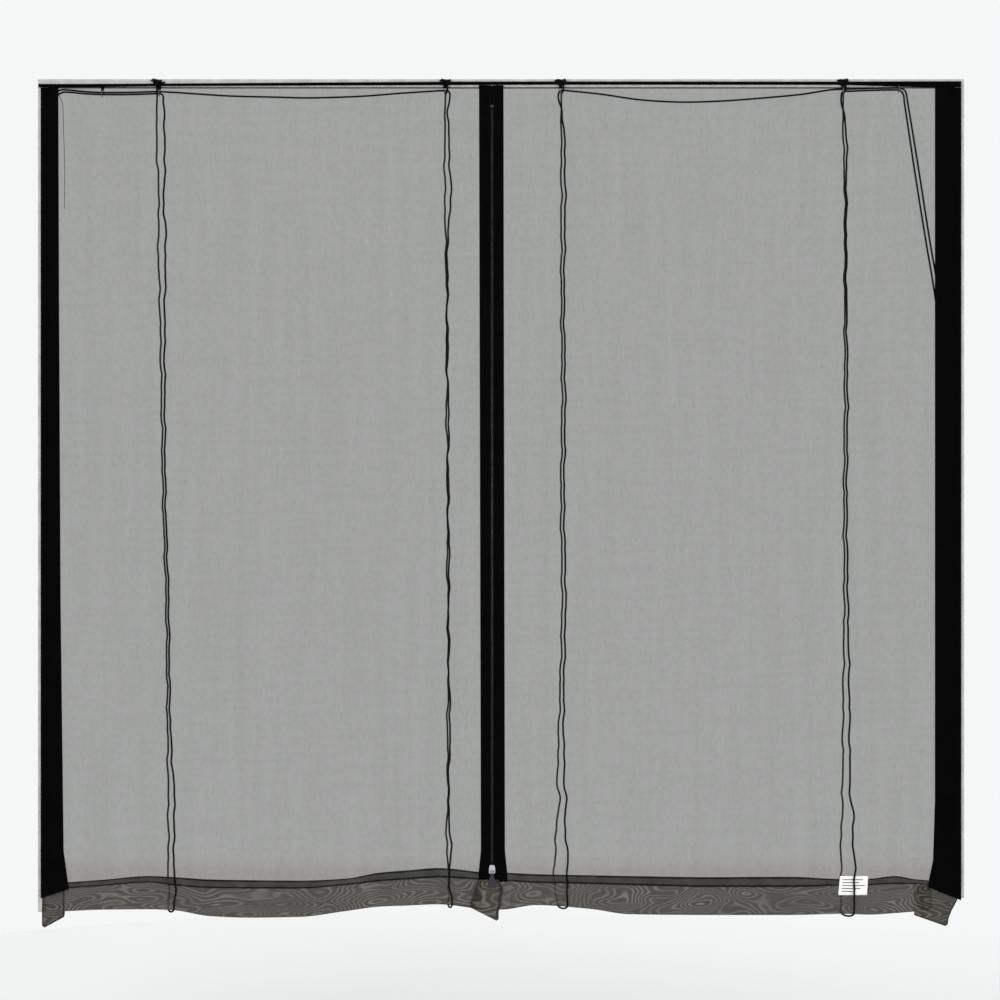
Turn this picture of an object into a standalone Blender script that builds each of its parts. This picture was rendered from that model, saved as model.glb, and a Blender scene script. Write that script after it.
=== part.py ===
"""Roll-up mesh door screen: two mesh halves that a zip joins, hung on hook tape round a doorway.

Four lift cords run from ties on the header, down behind the mesh, under the weighted hem and up the
front to guide rings, which lead them to the two sides. Pulling a side's cords gathers its half
upwards. Everything is in metres. X runs along the header, Y runs through the doorway with the front
at -Y, and Z is up. The origin is the centre of the header hook tape's back face.
"""

import math

import bmesh
import bpy
from mathutils import Vector

# ------------------------------------------------------------------ driving dimensions, in metres
GAP = 0.0005  # clearance between pieces that touch
HALF_WIDTH = 1.220  # centre line to the outer edge of the side hook tape
TAPE_HEIGHT = 0.022  # hook tape, which is the adhesive strip on the door frame
LEFT_JAMB_FOOT = -2.183
RIGHT_JAMB_FOOT = -2.146

# Layers from the door frame forwards, each as (front y, back y)
HOOK_LAYER = (-0.0015, 0.0)
MESH_LAYER = (-0.0030, -0.0018)
WEBBING_LAYER = (-0.0053, -0.0033)
POCKET_LAYER = (-0.0030, 0.0015)
BAND_LAYER = (-0.0030, 0.0006)
LABEL_LAYER = (-0.0043, -0.0033)
CENTRE_FLAP_LAYER = (-0.0070, -0.0056)
WEIGHT_LAYER = (-0.0014, 0.0004)
PROUD_FRONT = -0.0103  # the side webbing's inner edge stands forward over the pull cords
PROUD_BACK = -0.0083

MESH_TOP = -0.0115
MESH_EDGE = 1.195  # outer edge of each mesh panel, behind the side webbing
WEBBING_TOP = -0.0115

# Zip column
ZIP_X = -0.0235
COIL_HALF_WIDTH = 0.0034
COIL_LAYER = (-0.0056, -0.0033)
COIL_TOP = -0.063
COIL_FOOT = -2.094
TAPE_HALF_GAP = 0.0022
TAPE_REACH = 0.0265
ZIP_TOP = -0.0050
ZIP_FOOT = -2.103

# Slider, at the foot of the zip
SLIDER_TOP = -2.059
SLIDER_FOOT = -2.082
SLIDER_HALF_WIDTH = 0.008
SLIDER_FRONT = (-0.0082, -0.0062)
SLIDER_BACK = (-0.0014, 0.0002)
PIVOT_Z = -2.0715
FRONT_PIVOT_Y = -0.0099
BACK_PIVOT_Y = 0.0019

# Hem stations from the outer side inwards: x, top of band, foot of band, foot of pocket
LEFT_HEM = (
    (-1.1485, -2.105, -2.120, -2.181),
    (-1.051, -2.098, -2.113, -2.177),
    (-0.925, -2.088, -2.104, -2.176),
    (-0.859, -2.091, -2.112, -2.179),
    (-0.767, -2.097, -2.119, -2.194),
    (-0.661, -2.099, -2.120, -2.198),
    (-0.530, -2.100, -2.120, -2.196),
    (-0.411, -2.095, -2.111, -2.181),
    (-0.319, -2.079, -2.101, -2.169),
    (-0.245, -2.073, -2.096, -2.166),
    (-0.166, -2.067, -2.091, -2.163),
    (-0.052, -2.078, -2.097, -2.176),
)
RIGHT_HEM = (
    (0.0045, -2.0785, -2.0995, -2.1765),
    (0.091, -2.083, -2.105, -2.165),
    (0.235, -2.086, -2.108, -2.175),
    (0.340, -2.088, -2.111, -2.189),
    (0.551, -2.091, -2.116, -2.191),
    (0.762, -2.090, -2.116, -2.191),
    (0.901, -2.096, -2.112, -2.188),
    (0.970, -2.095, -2.111, -2.190),
    (1.038, -2.088, -2.108, -2.186),
    (1.088, -2.096, -2.108, -2.182),
)
RIGHT_POCKET_START = ((-0.006, -2.1040, -2.1780), (0.0035, -2.1040, -2.1765))
RIGHT_BAND_END = (1.125, -2.0995, -2.110)

# Side webbing stations: height at the outer edge, height at the inner edge, inner edge's |x|
LEFT_WEBBING_EDGE = (
    (WEBBING_TOP, WEBBING_TOP, 1.165),
    (-0.570, -0.570, 1.163),
    (-1.361, -1.361, 1.159),
    (-2.020, -2.020, 1.151),
    (-2.100, -2.086, 1.142),
    (-2.146, -2.122, 1.137),
)
RIGHT_WEBBING_EDGE = (
    (WEBBING_TOP, WEBBING_TOP, 1.142),
    (-1.888, -1.888, 1.142),
    (-2.046, -2.046, 1.137),
    (-2.110, -2.098, 1.126),
    (-2.152, -2.116, 1.124),
)
WEBBING_OUTER = 1.212
PROUD_START = 1.194  # |x| inside which the webbing stands proud of the mesh

# Guide rings and their hangers
RING_RADIUS = 0.00875  # to the middle of the wire
RING_WIRE = 0.00125
RING_Y = -0.0134
HANG_ANGLE = math.radians(50)  # how far behind its top a ring is held
HANGER_LAYER = (-0.0073, -0.0063)
HANGER_HALF_WIDTH = 0.0041
HANGER_SLOT_HALF_WIDTH = 0.0031
HANGER_SLOT_HALF_HEIGHT = 0.0038
RINGS = (  # x, height of the ring's middle, top of its hanger
    (-1.049, -0.0285, -0.004),
    (-0.899, -0.0265, -0.004),
    (-0.148, -0.0210, -0.0035),
    (0.157, -0.0230, -0.0035),
    (0.900, -0.0200, -0.0035),
    (1.046, -0.0165, -0.001),
)

# Cords
CORD = 0.0045
FREE_BACK_Y = 0.0032
FREE_FRONT_Y = -0.0080
HEM_MIDDLE_Y = -0.00075
TURN_RADIUS = 0.0090  # under the hem
TURN_LIFT = 0.0055  # from the hem's foot to the middle of that turn
CORD_PITCH = 0.0026  # half the spacing of two cords in one ring
CHANNEL_Y = -0.00565  # of the pull cords behind the side webbing
TAIL_FOOT = -1.050
TIE_SIZE = (0.030, 0.0066, 0.0125)

# Lift loops as (x, z): down the back, then up the front, with the hem's foot between them
LOOPS = {
    1: {
        "back": [(-0.906, -0.020), (-0.908, -0.123), (-0.904, -0.254), (-0.901, -0.320),
                 (-0.904, -0.400), (-0.899, -0.597), (-0.895, -0.834), (-0.891, -1.097),
                 (-0.883, -1.361), (-0.880, -1.624), (-0.877, -1.901), (-0.877, -2.080)],
        "hem": (-0.877, -0.860, -2.179),
        "front": [(-0.858, -2.099), (-0.862, -2.020), (-0.859, -1.901), (-0.870, -1.700),
                  (-0.875, -1.361), (-0.883, -1.097), (-0.885, -0.834), (-0.885, -0.597),
                  (-0.883, -0.399), (-0.888, -0.307), (-0.884, -0.188), (-0.888, -0.100),
                  (-0.885, -0.070)],
        "turn": (-1, -0.899, -0.0291),
    },
    2: {
        "back": [(-0.146, -0.020), (-0.148, -0.123), (-0.148, -0.281), (-0.144, -0.518),
                 (-0.140, -0.702), (-0.144, -0.887), (-0.138, -1.045), (-0.142, -1.256),
                 (-0.137, -1.466), (-0.141, -1.677), (-0.140, -1.888), (-0.144, -2.010),
                 (-0.137, -2.080)],
        "hem": (-0.141, -0.130, -2.167),
        "front": [(-0.136, -2.099), (-0.132, -2.020), (-0.138, -1.888), (-0.134, -1.677),
                  (-0.140, -1.466), (-0.136, -1.256), (-0.142, -1.045), (-0.137, -0.887),
                  (-0.144, -0.702), (-0.140, -0.518), (-0.141, -0.412), (-0.132, -0.312),
                  (-0.136, -0.188), (-0.139, -0.080)],
        "turn": (-1, -0.148, -0.0210),
    },
    3: {
        "back": [(0.159, -0.020), (0.159, -0.123), (0.159, -0.307), (0.159, -0.570),
                 (0.161, -0.834), (0.158, -1.097), (0.161, -1.361), (0.155, -1.624),
                 (0.149, -1.835), (0.154, -1.888), (0.148, -1.940), (0.143, -2.020),
                 (0.140, -2.085)],
        "hem": (0.149, 0.174, -2.170),
        "front": [(0.175, -2.085), (0.174, -2.020), (0.168, -1.941), (0.171, -1.888),
                  (0.167, -1.835), (0.165, -1.624), (0.170, -1.361), (0.166, -1.097),
                  (0.169, -0.834), (0.166, -0.570), (0.169, -0.307), (0.166, -0.123),
                  (0.161, -0.080)],
        "turn": (1, 0.157, -0.0205),
    },
    4: {
        "back": [(0.902, -0.020), (0.902, -0.123), (0.906, -0.281), (0.906, -0.518),
                 (0.906, -0.834), (0.904, -1.097), (0.905, -1.361), (0.902, -1.624),
                 (0.900, -1.888), (0.896, -2.020), (0.896, -2.085)],
        "hem": (0.897, 0.929, -2.190),
        "front": [(0.931, -2.100), (0.931, -2.059), (0.926, -1.980), (0.928, -1.928),
                  (0.920, -1.888), (0.917, -1.624), (0.913, -1.361), (0.910, -1.097),
                  (0.912, -0.834), (0.909, -0.518), (0.909, -0.281), (0.909, -0.123),
                  (0.902, -0.080)],
        "turn": (1, 0.900, -0.0226),
    },
}
TURN_SIZE = 0.010  # radius of the turn from a strand going up into its ring
LOOP_RUN_ON = 0.013  # how far past its ring a loop meets its lead

# Leads from the loops' ends to the sides, then down behind the side webbing, as (x, y, z)
RING_CORD_Y = -0.0140
LEADS = {
    1: [(-0.970, RING_CORD_Y, -0.0310), (-1.049, RING_CORD_Y, -0.0311), (-1.096, -0.0110, -0.0285),
        (-1.136, -0.0066, -0.0240), (-1.154, CHANNEL_Y, -0.0245), (-1.167, CHANNEL_Y, -0.0320),
        (-1.173, CHANNEL_Y, -0.0480), (-1.173, CHANNEL_Y, -0.3000), (-1.172, CHANNEL_Y, -0.6500),
        (-1.171, CHANNEL_Y, TAIL_FOOT)],
    2: [(-0.266, RING_CORD_Y, -0.0280), (-0.372, RING_CORD_Y, -0.0360),
        (-0.503, RING_CORD_Y, -0.0400), (-0.596, RING_CORD_Y, -0.0380),
        (-0.714, RING_CORD_Y, -0.0350), (-0.793, RING_CORD_Y, -0.0300),
        (-0.899, RING_CORD_Y, -0.0238), (-0.970, RING_CORD_Y, -0.0255),
        (-1.049, RING_CORD_Y, -0.0259), (-1.096, -0.0110, -0.0230), (-1.136, -0.0066, -0.0182),
        (-1.158, CHANNEL_Y, -0.0180), (-1.177, CHANNEL_Y, -0.0260), (-1.1845, CHANNEL_Y, -0.0480),
        (-1.184, CHANNEL_Y, -0.3000), (-1.183, CHANNEL_Y, -0.6500), (-1.182, CHANNEL_Y, TAIL_FOOT)],
    3: [(0.261, RING_CORD_Y, -0.0300), (0.366, RING_CORD_Y, -0.0450), (0.472, RING_CORD_Y, -0.0510),
        (0.564, RING_CORD_Y, -0.0490), (0.630, RING_CORD_Y, -0.0450), (0.788, RING_CORD_Y, -0.0310),
        (0.865, RING_CORD_Y, -0.0190), (0.900, RING_CORD_Y, -0.0172), (0.980, RING_CORD_Y, -0.0146),
        (1.034, RING_CORD_Y, -0.0138), (1.050, RING_CORD_Y, -0.0143), (1.0630, -0.0137, -0.0220),
        (1.0685, -0.0134, -0.0450), (1.1010, -0.0095, -0.2400), (1.1280, -0.0068, -0.4100),
        (1.1445, CHANNEL_Y, -0.5050), (1.158, CHANNEL_Y, -0.6000), (1.164, CHANNEL_Y, -0.7000),
        (1.165, CHANNEL_Y, TAIL_FOOT)],
    4: [(0.980, RING_CORD_Y, -0.0200), (1.034, RING_CORD_Y, -0.0192),
        (1.047, RING_CORD_Y, -0.0200), (1.0575, -0.0137, -0.0290), (1.0610, -0.0134, -0.0520),
        (1.0920, -0.0095, -0.2540), (1.120, -0.0068, -0.4250), (1.138, CHANNEL_Y, -0.5300),
        (1.149, CHANNEL_Y, -0.6100), (1.153, CHANNEL_Y, -0.7000), (1.154, CHANNEL_Y, TAIL_FOOT)],
}


# ------------------------------------------------------------------ helpers
def clear_scene():
    for obj in list(bpy.data.objects):
        bpy.data.objects.remove(obj, do_unlink=True)


def make_material(name, colour, roughness, metallic=0.0, alpha=1.0):
    material = bpy.data.materials.new(name)
    material.use_nodes = True
    shader = material.node_tree.nodes["Principled BSDF"]
    shader.inputs["Base Color"].default_value = (*colour, 1.0)
    shader.inputs["Roughness"].default_value = roughness
    shader.inputs["Metallic"].default_value = metallic
    shader.inputs["Alpha"].default_value = alpha
    return material


def make_materials():
    return {
        "mesh": make_material("mesh_fabric", (0.10, 0.10, 0.09), 0.9, alpha=0.6),
        "hem": make_material("hem_fabric", (0.09, 0.085, 0.075), 0.9, alpha=0.85),
        "webbing": make_material("black_webbing", (0.006, 0.006, 0.008), 0.85),
        "hook": make_material("hook_tape", (0.62, 0.62, 0.60), 0.8),
        "coil": make_material("zip_coil", (0.012, 0.012, 0.014), 0.45),
        "slider": make_material("slider_metal", (0.72, 0.73, 0.75), 0.25, metallic=1.0),
        "pull": make_material("pull_metal", (0.16, 0.16, 0.17), 0.4, metallic=1.0),
        "ring": make_material("ring_metal", (0.45, 0.46, 0.48), 0.3, metallic=1.0),
        "cord": make_material("black_cord", (0.008, 0.008, 0.008), 0.8),
        "label": make_material("label_cloth", (0.85, 0.85, 0.83), 0.8),
        "weight": make_material("corner_weight", (0.02, 0.02, 0.02), 0.7),
    }


def add_mesh(name, bm, material, origin=(0, 0, 0), smooth=False):
    """One closed solid, with its object's origin where the piece turns or is held."""
    bmesh.ops.recalc_face_normals(bm, faces=bm.faces)
    bmesh.ops.translate(bm, verts=bm.verts, vec=-Vector(origin))
    mesh = bpy.data.meshes.new(name)
    bm.to_mesh(mesh)
    bm.free()
    if smooth:
        mesh.shade_smooth()
        mesh.set_sharp_from_angle(angle=math.radians(40))
    mesh.materials.append(material)
    obj = bpy.data.objects.new(name, mesh)
    obj.location = origin
    bpy.context.scene.collection.objects.link(obj)
    return obj


def skin_loops(bm, loops, closed=False):
    """Quads between each loop of vertices and the next, with end caps unless the row is closed."""
    rows = [[bm.verts.new(p) for p in loop] for loop in loops]
    count = len(rows[0])
    for i in range(len(rows) - (0 if closed else 1)):
        here, after = rows[i], rows[(i + 1) % len(rows)]
        for k in range(count):
            bm.faces.new((here[k], here[(k + 1) % count], after[(k + 1) % count], after[k]))
    if not closed:
        bm.faces.new(rows[0])
        bm.faces.new(rows[-1])


def loft(name, loops, material, closed=False, origin=(0, 0, 0), smooth=False):
    bm = bmesh.new()
    skin_loops(bm, loops, closed)
    return add_mesh(name, bm, material, origin, smooth)


def plate(name, outline, layer, material, origin=(0, 0, 0)):
    """A flat piece: an outline in X and Z between two values of y."""
    loops = [[(x, y, z) for x, z in outline] for y in layer]
    return loft(name, loops, material, origin=origin)


def box_outline(x0, x1, z0, z1):
    return [(x0, z0), (x1, z0), (x1, z1), (x0, z1)]


def stadium(x, z, half_width, half_height, steps=4):
    """A slot's outline: round ends joined by straight sides."""
    points = []
    for side in (1, -1):
        for i in range(steps + 1):
            angle = math.pi * i / steps + (0 if side > 0 else math.pi)
            points.append((x + half_width * math.cos(angle),
                           z + side * (half_height - half_width) + half_width * math.sin(angle)))
    return points


def run_along_x(name, stations, layer, material):
    """A long flat piece from stations of (x, top, foot)."""
    front, back = layer
    loops = [[(x, front, top), (x, back, top), (x, back, foot), (x, front, foot)]
             for x, top, foot in stations]
    return loft(name, loops, material)


def smooth_route(points, steps):
    """A Catmull-Rom curve through the points, with steps points for each stretch."""
    points = [Vector(p) for p in points]
    ends = [2 * points[0] - points[1], *points, 2 * points[-1] - points[-2]]
    route = []
    for a, b, c, d in zip(ends, ends[1:], ends[2:], ends[3:]):
        reach = (c - b).length
        leave = (c - a).normalized() * reach
        arrive = (d - b).normalized() * reach
        for i in range(steps):
            t = i / steps
            route.append(b * (2 * t**3 - 3 * t**2 + 1) + c * (3 * t**2 - 2 * t**3)
                         + leave * (t**3 - 2 * t**2 + t) + arrive * (t**3 - t**2))
    return [*route, points[-1]]


def cord(name, route, diameter, material):
    curve = bpy.data.curves.new(name, "CURVE")
    curve.dimensions = "3D"
    curve.resolution_u = 1
    curve.render_resolution_u = 0
    curve.bevel_depth = diameter / 2
    curve.bevel_resolution = 2
    curve.use_fill_caps = True
    spline = curve.splines.new("POLY")
    spline.points.add(len(route) - 1)
    for point, place in zip(spline.points, route):
        point.co = (*place, 1.0)
    curve.materials.append(material)
    obj = bpy.data.objects.new(name, curve)
    bpy.context.scene.collection.objects.link(obj)
    return obj


# ------------------------------------------------------------------ fixed pieces on the door frame
def make_hook_tape(m):
    half = TAPE_HEIGHT / 2
    plate("header_hook_tape", box_outline(-HALF_WIDTH, HALF_WIDTH, -half, half), HOOK_LAYER, m["hook"])
    top = -half - GAP
    inner = HALF_WIDTH - TAPE_HEIGHT
    plate("left_jamb_hook_tape", box_outline(-HALF_WIDTH, -inner, LEFT_JAMB_FOOT, top),
          HOOK_LAYER, m["hook"])
    plate("right_jamb_hook_tape", box_outline(inner, HALF_WIDTH, RIGHT_JAMB_FOOT, top),
          HOOK_LAYER, m["hook"])


def header_stations(inset):
    """The header webbing's (x, top, foot), deeper at its two corners."""
    profile = ((-1.218, -0.002, -0.0105), (-1.100, -0.002, -0.0105), (-0.900, -0.001, -0.0075),
               (-0.150, 0.004, -0.0045), (0.130, 0.0045, -0.0035), (0.900, 0.004, -0.0040),
               (1.120, 0.005, -0.0105), (1.212, 0.005, -0.0105))
    return [(x + (inset if x < 0 else -inset), top - inset, foot + inset) for x, top, foot in profile]


def make_header(m):
    run_along_x("header_webbing", header_stations(0.0), WEBBING_LAYER, m["webbing"])
    run_along_x("header_loop_tape", header_stations(0.0012), MESH_LAYER, m["webbing"])


def make_ties(m):
    """The lift cords' knots round the header, as lumpy wraps."""
    for number, loop in LOOPS.items():
        x = loop["back"][0][0] + (0.002 if loop["turn"][0] < 0 else 0.0)
        width, depth, height = TIE_SIZE
        middle = Vector((x, WEBBING_LAYER[0] - GAP - depth / 2, 0.0031))
        bm = bmesh.new()
        bmesh.ops.create_uvsphere(bm, u_segments=14, v_segments=9, radius=0.5)
        for vert in bm.verts:
            ridge = 1 + 0.09 * math.cos(6 * math.pi * vert.co.x)
            vert.co = Vector((vert.co.x * width, vert.co.y * depth * ridge, vert.co.z * height * ridge))
            vert.co.y = max(-depth / 2, min(depth / 2, vert.co.y))
            vert.co += middle
        add_mesh(f"header_tie_{number}", bm, m["cord"], origin=middle, smooth=True)


def ring_hold(ring):
    """The point where a hanger holds its ring, which is also the axis that the ring swings on."""
    x, z, _ = ring
    return Vector((x, RING_Y + RING_RADIUS * math.sin(HANG_ANGLE),
                   z + RING_RADIUS * math.cos(HANG_ANGLE)))


def make_hangers(m):
    """Narrow loops below the header, with a slot that the ring's wire passes through."""
    for number, ring in enumerate(RINGS, 1):
        x, _, top = ring
        hold = ring_hold(ring)
        slot = stadium(x, hold.z, HANGER_SLOT_HALF_WIDTH, HANGER_SLOT_HALF_HEIGHT)
        wall = HANGER_HALF_WIDTH - HANGER_SLOT_HALF_WIDTH
        outer = stadium(x, hold.z, HANGER_HALF_WIDTH, HANGER_SLOT_HALF_HEIGHT + wall)
        flat_top = [(x + (1 - 2 * i / 4) * HANGER_HALF_WIDTH, top) for i in range(5)]
        outer = flat_top + outer[5:]
        front, back = HANGER_LAYER
        loops = [[(px, front, pz) for px, pz in slot], [(px, front, pz) for px, pz in outer],
                 [(px, back, pz) for px, pz in outer], [(px, back, pz) for px, pz in slot]]
        loft(f"ring_hanger_{number}", loops, m["webbing"], closed=True, origin=hold)


def make_rings(m):
    for number, ring in enumerate(RINGS, 1):
        x, z, _ = ring
        loops = []
        for i in range(20):
            turn = 2 * math.pi * i / 20
            out = Vector((0, math.cos(turn), math.sin(turn)))
            centre = Vector((x, RING_Y, z)) + RING_RADIUS * out
            loops.append([centre + RING_WIRE * (math.cos(a) * out + math.sin(a) * Vector((1, 0, 0)))
                          for a in (2 * math.pi * k / 8 for k in range(8))])
        loft(f"guide_ring_{number}", loops, m["ring"], closed=True, origin=ring_hold(ring), smooth=True)


# ------------------------------------------------------------------ the two halves
def webbing_section(side, outer_z, inner_z, inner):
    """Side webbing seen from above: flat over the hook tape, standing proud over the pull cords."""
    slope = 0.004
    front, back = WEBBING_LAYER
    outline = ((WEBBING_OUTER, front), (PROUD_START, front), (PROUD_START - slope, PROUD_FRONT),
               (inner, PROUD_FRONT), (inner, PROUD_BACK), (PROUD_START - slope - 0.001, PROUD_BACK),
               (PROUD_START - 0.001, back), (WEBBING_OUTER, back))
    section = []
    for x, y in outline:
        share = (WEBBING_OUTER - x) / (WEBBING_OUTER - inner)
        section.append((side * x, y, outer_z + (inner_z - outer_z) * share))
    return section


def make_side(m, name, side, edge, jamb_foot):
    loft(f"{name}_side_webbing", [webbing_section(side, *station) for station in edge], m["webbing"])
    inner = HALF_WIDTH - TAPE_HEIGHT
    outer = WEBBING_OUTER - 0.001
    xs = sorted((side * inner, side * outer))
    plate(f"{name}_loop_tape", box_outline(*xs, jamb_foot, WEBBING_TOP), MESH_LAYER, m["webbing"])


def make_panel(m, name, side, hem, zip_edge):
    """The mesh, its stitched hem band and the hem pocket below."""
    panel = [(x, MESH_TOP, top + GAP) for x, top, _, _ in hem]
    corner = (side * MESH_EDGE, MESH_TOP, -2.100)
    inner = (zip_edge, MESH_TOP, (hem[-1] if side < 0 else hem[0])[1] + GAP)
    if side < 0:
        panel = [corner, *panel, inner] if zip_edge > panel[-1][0] else [corner, *panel]
    else:
        panel = [inner, *panel, corner] if zip_edge < panel[0][0] else [*panel, corner]
    if side > 0:
        panel.insert(-1, (RIGHT_BAND_END[0], MESH_TOP, RIGHT_BAND_END[1] + GAP))
    run_along_x(f"{name}_mesh_panel", panel, MESH_LAYER, m["mesh"])
    band = [(x, top, foot) for x, top, foot, _ in hem]
    if side > 0:
        band.append(RIGHT_BAND_END)  # the band runs on over the webbing's foot; the pocket stops short
    run_along_x(f"{name}_hem_band", band, BAND_LAYER, m["hem"])
    pocket = [(x, foot - GAP, end) for x, _, foot, end in hem]
    if side > 0:
        pocket = [*RIGHT_POCKET_START, *pocket]
    run_along_x(f"{name}_hem_pocket", pocket, POCKET_LAYER, m["hem"])


def make_corner_flaps(m):
    """The loose doubled ends of the hem pockets below the side webbings, and the centre one."""
    left = [(-1.157, -2.112), (-1.204, -2.128), (-1.209, -2.175), (-1.209, -2.218),
            (-1.203, -2.224), (-1.151, -2.196), (-1.1488, -2.188), (-1.1488, -2.112)]
    plate("left_corner_flap", left, MESH_LAYER, m["hem"])
    right = [(1.0883, -2.1084), (1.1252, -2.1104), (1.1256, -2.104), (1.197, -2.118),
             (1.204, -2.147), (1.201, -2.153), (1.186, -2.181), (1.179, -2.199),
             (1.177, -2.215), (1.171, -2.220), (1.0883, -2.191)]
    plate("right_corner_flap", right, MESH_LAYER, m["hem"])
    centre = [(-0.060, -2.097), (-0.082, -2.170), (-0.012, -2.205), (-0.006, -2.201),
              (-0.006, -2.182), (0.006, -2.121), (-0.008, -2.097)]
    plate("centre_flap", centre, CENTRE_FLAP_LAYER, m["hem"])
    plate("right_corner_weight", box_outline(1.096, 1.136, -2.178, -2.113), WEIGHT_LAYER, m["weight"])


def make_label(m):
    outline = [(0.888, -2.138), (0.964, -2.138), (0.967, -2.088), (0.893, -2.088)]
    plate("care_label", outline, LABEL_LAYER, m["label"])


# ------------------------------------------------------------------ zip
def make_zip(m):
    for name, side, edge_top, edge_foot in (("left", -1, -0.058, -0.053), ("right", 1, 0.0066, 0.0105)):
        inner = ZIP_X + side * 0.010
        flare = edge_foot + side * 0.006
        outline = [(inner, ZIP_TOP), (edge_top, ZIP_TOP), (edge_foot, -2.020), (flare, -2.080),
                   (flare, ZIP_FOOT), (inner, ZIP_FOOT)]
        plate(f"{name}_zip_webbing", outline, WEBBING_LAYER, m["webbing"])
        xs = sorted((ZIP_X + side * TAPE_HALF_GAP, ZIP_X + side * TAPE_REACH))
        plate(f"{name}_zip_tape", box_outline(*xs, ZIP_FOOT, ZIP_TOP), MESH_LAYER, m["webbing"])
        near, far = ZIP_X + side * 0.0002, ZIP_X + side * COIL_HALF_WIDTH
        spread = side * 0.0024
        coil = [(near, COIL_TOP), (far, COIL_TOP), (far, -2.066), (far + spread, -2.075),
                (far + spread, COIL_FOOT), (near + spread, COIL_FOOT), (near + spread, -2.075),
                (near, -2.066)]
        plate(f"{name}_zip_coil", coil, COIL_LAYER, m["coil"])
    stop = box_outline(ZIP_X - 0.0045, ZIP_X + 0.0045, COIL_TOP + GAP, COIL_TOP + 0.0055)
    plate("zip_top_stop", stop, (-0.0060, -0.0033), m["slider"])
    stop = box_outline(ZIP_X - 0.0075, ZIP_X + 0.0075, ZIP_FOOT, COIL_FOOT - GAP)
    plate("zip_bottom_stop", stop, (-0.0054, -0.0033), m["slider"])


def slider_outline(half, z_top, z_foot):
    """A slider plate: wide at the end where the two coils enter, narrow at the other."""
    return [(ZIP_X - 0.75 * half, z_top), (ZIP_X + 0.75 * half, z_top),
            (ZIP_X + half, z_top + 0.35 * (z_foot - z_top)), (ZIP_X + half, z_foot + 0.003),
            (ZIP_X + 0.5 * half, z_foot), (ZIP_X - 0.5 * half, z_foot),
            (ZIP_X - half, z_foot + 0.003), (ZIP_X - half, z_top + 0.35 * (z_foot - z_top))]


def join_solids(base, others):
    """Unites closed solids into one and removes the tools."""
    for other in others:
        cut = base.modifiers.new("join", "BOOLEAN")
        cut.operation = "UNION"
        cut.object = other
        other.hide_render = True
        other.display_type = "WIRE"


def bail(name, pivot_y, plate_y, m):
    """The arch on a slider plate that its pull hangs on, bent in a plane across the pull's axis."""
    wire = 0.0009
    reach = 0.0042
    out = -1 if pivot_y < plate_y else 1
    rise = 0.0052
    path = []
    for i in range(9):
        angle = math.pi * i / 8
        path.append(Vector((ZIP_X, plate_y - out * 0.0008 + out * (reach + 0.0008) * math.sin(angle),
                            PIVOT_Z + rise * math.cos(angle))))
    loops = []
    for i, point in enumerate(path):
        along = (path[min(i + 1, 8)] - path[max(i - 1, 0)]).normalized()
        side = Vector((1, 0, 0))
        up = along.cross(side)
        loops.append([point + wire * (math.cos(a) * side * 1.6 + math.sin(a) * up)
                      for a in (2 * math.pi * k / 8 for k in range(8))])
    return loft(name, loops, m["slider"])


def make_slider(m):
    body = plate("zip_slider", slider_outline(SLIDER_HALF_WIDTH, SLIDER_TOP, SLIDER_FOOT),
                 SLIDER_FRONT, m["slider"], origin=(ZIP_X, 0, PIVOT_Z))
    back = plate("cutter_slider_back", slider_outline(SLIDER_HALF_WIDTH, SLIDER_TOP, SLIDER_FOOT),
                 SLIDER_BACK, m["slider"])
    post = plate("cutter_slider_post", box_outline(ZIP_X - 0.0014, ZIP_X + 0.0014, -2.0812, -2.0765),
                 (SLIDER_FRONT[1] - 0.001, SLIDER_BACK[0] + 0.0008), m["slider"])
    parts = [post, back, bail("cutter_front_bail", FRONT_PIVOT_Y, SLIDER_FRONT[0], m),
             bail("cutter_back_bail", BACK_PIVOT_Y, SLIDER_BACK[1], m)]
    for side in (-1, 1):
        x = ZIP_X + side * (SLIDER_HALF_WIDTH - 0.0006)
        lip = box_outline(*sorted((x, x - side * 0.0010)), SLIDER_FOOT + 0.0035, SLIDER_TOP - 0.009)
        parts.append(plate(f"cutter_slider_lip_{side}", lip, (SLIDER_FRONT[1] - 0.001, -0.0036), m["slider"]))
    join_solids(body, parts)


def make_pull(m, name, y, out):
    """A flat pull whose eye hangs on the slider's bail, with a forked, two-lobed grip."""
    eye_half, eye_wall = 0.0026, 0.0022
    bar = eye_wall / 2
    slot_half_height = 0.0040
    middle = PIVOT_Z - bar - slot_half_height
    slot = stadium(ZIP_X, middle, eye_half, slot_half_height)
    wide = stadium(ZIP_X, middle, eye_half + eye_wall, slot_half_height + eye_wall)
    thick = 0.0014
    layer = (y - thick / 2, y + thick / 2)
    loops = [[(px, ly, pz) for px, pz in shape]
             for shape, ly in ((slot, layer[0]), (wide, layer[0]), (wide, layer[1]), (slot, layer[1]))]
    eye = loft(name, loops, m["pull"], closed=True, origin=(ZIP_X, y, PIVOT_Z))
    half_grip = ((0.0042, -0.0100), (0.0044, -0.0160), (0.0088, -0.0300), (0.0120, -0.0395),
                 (0.0104, -0.0455), (0.0056, -0.0478), (0.0, -0.0440))
    grip = [(-x, z) for x, z in half_grip] + [(x, z) for x, z in reversed(half_grip[:-1])]
    blade = [(ZIP_X + x, PIVOT_Z + z) for x, z in grip]
    join_solids(eye, [plate(f"cutter_{name}", blade, layer, m["pull"])])


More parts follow.
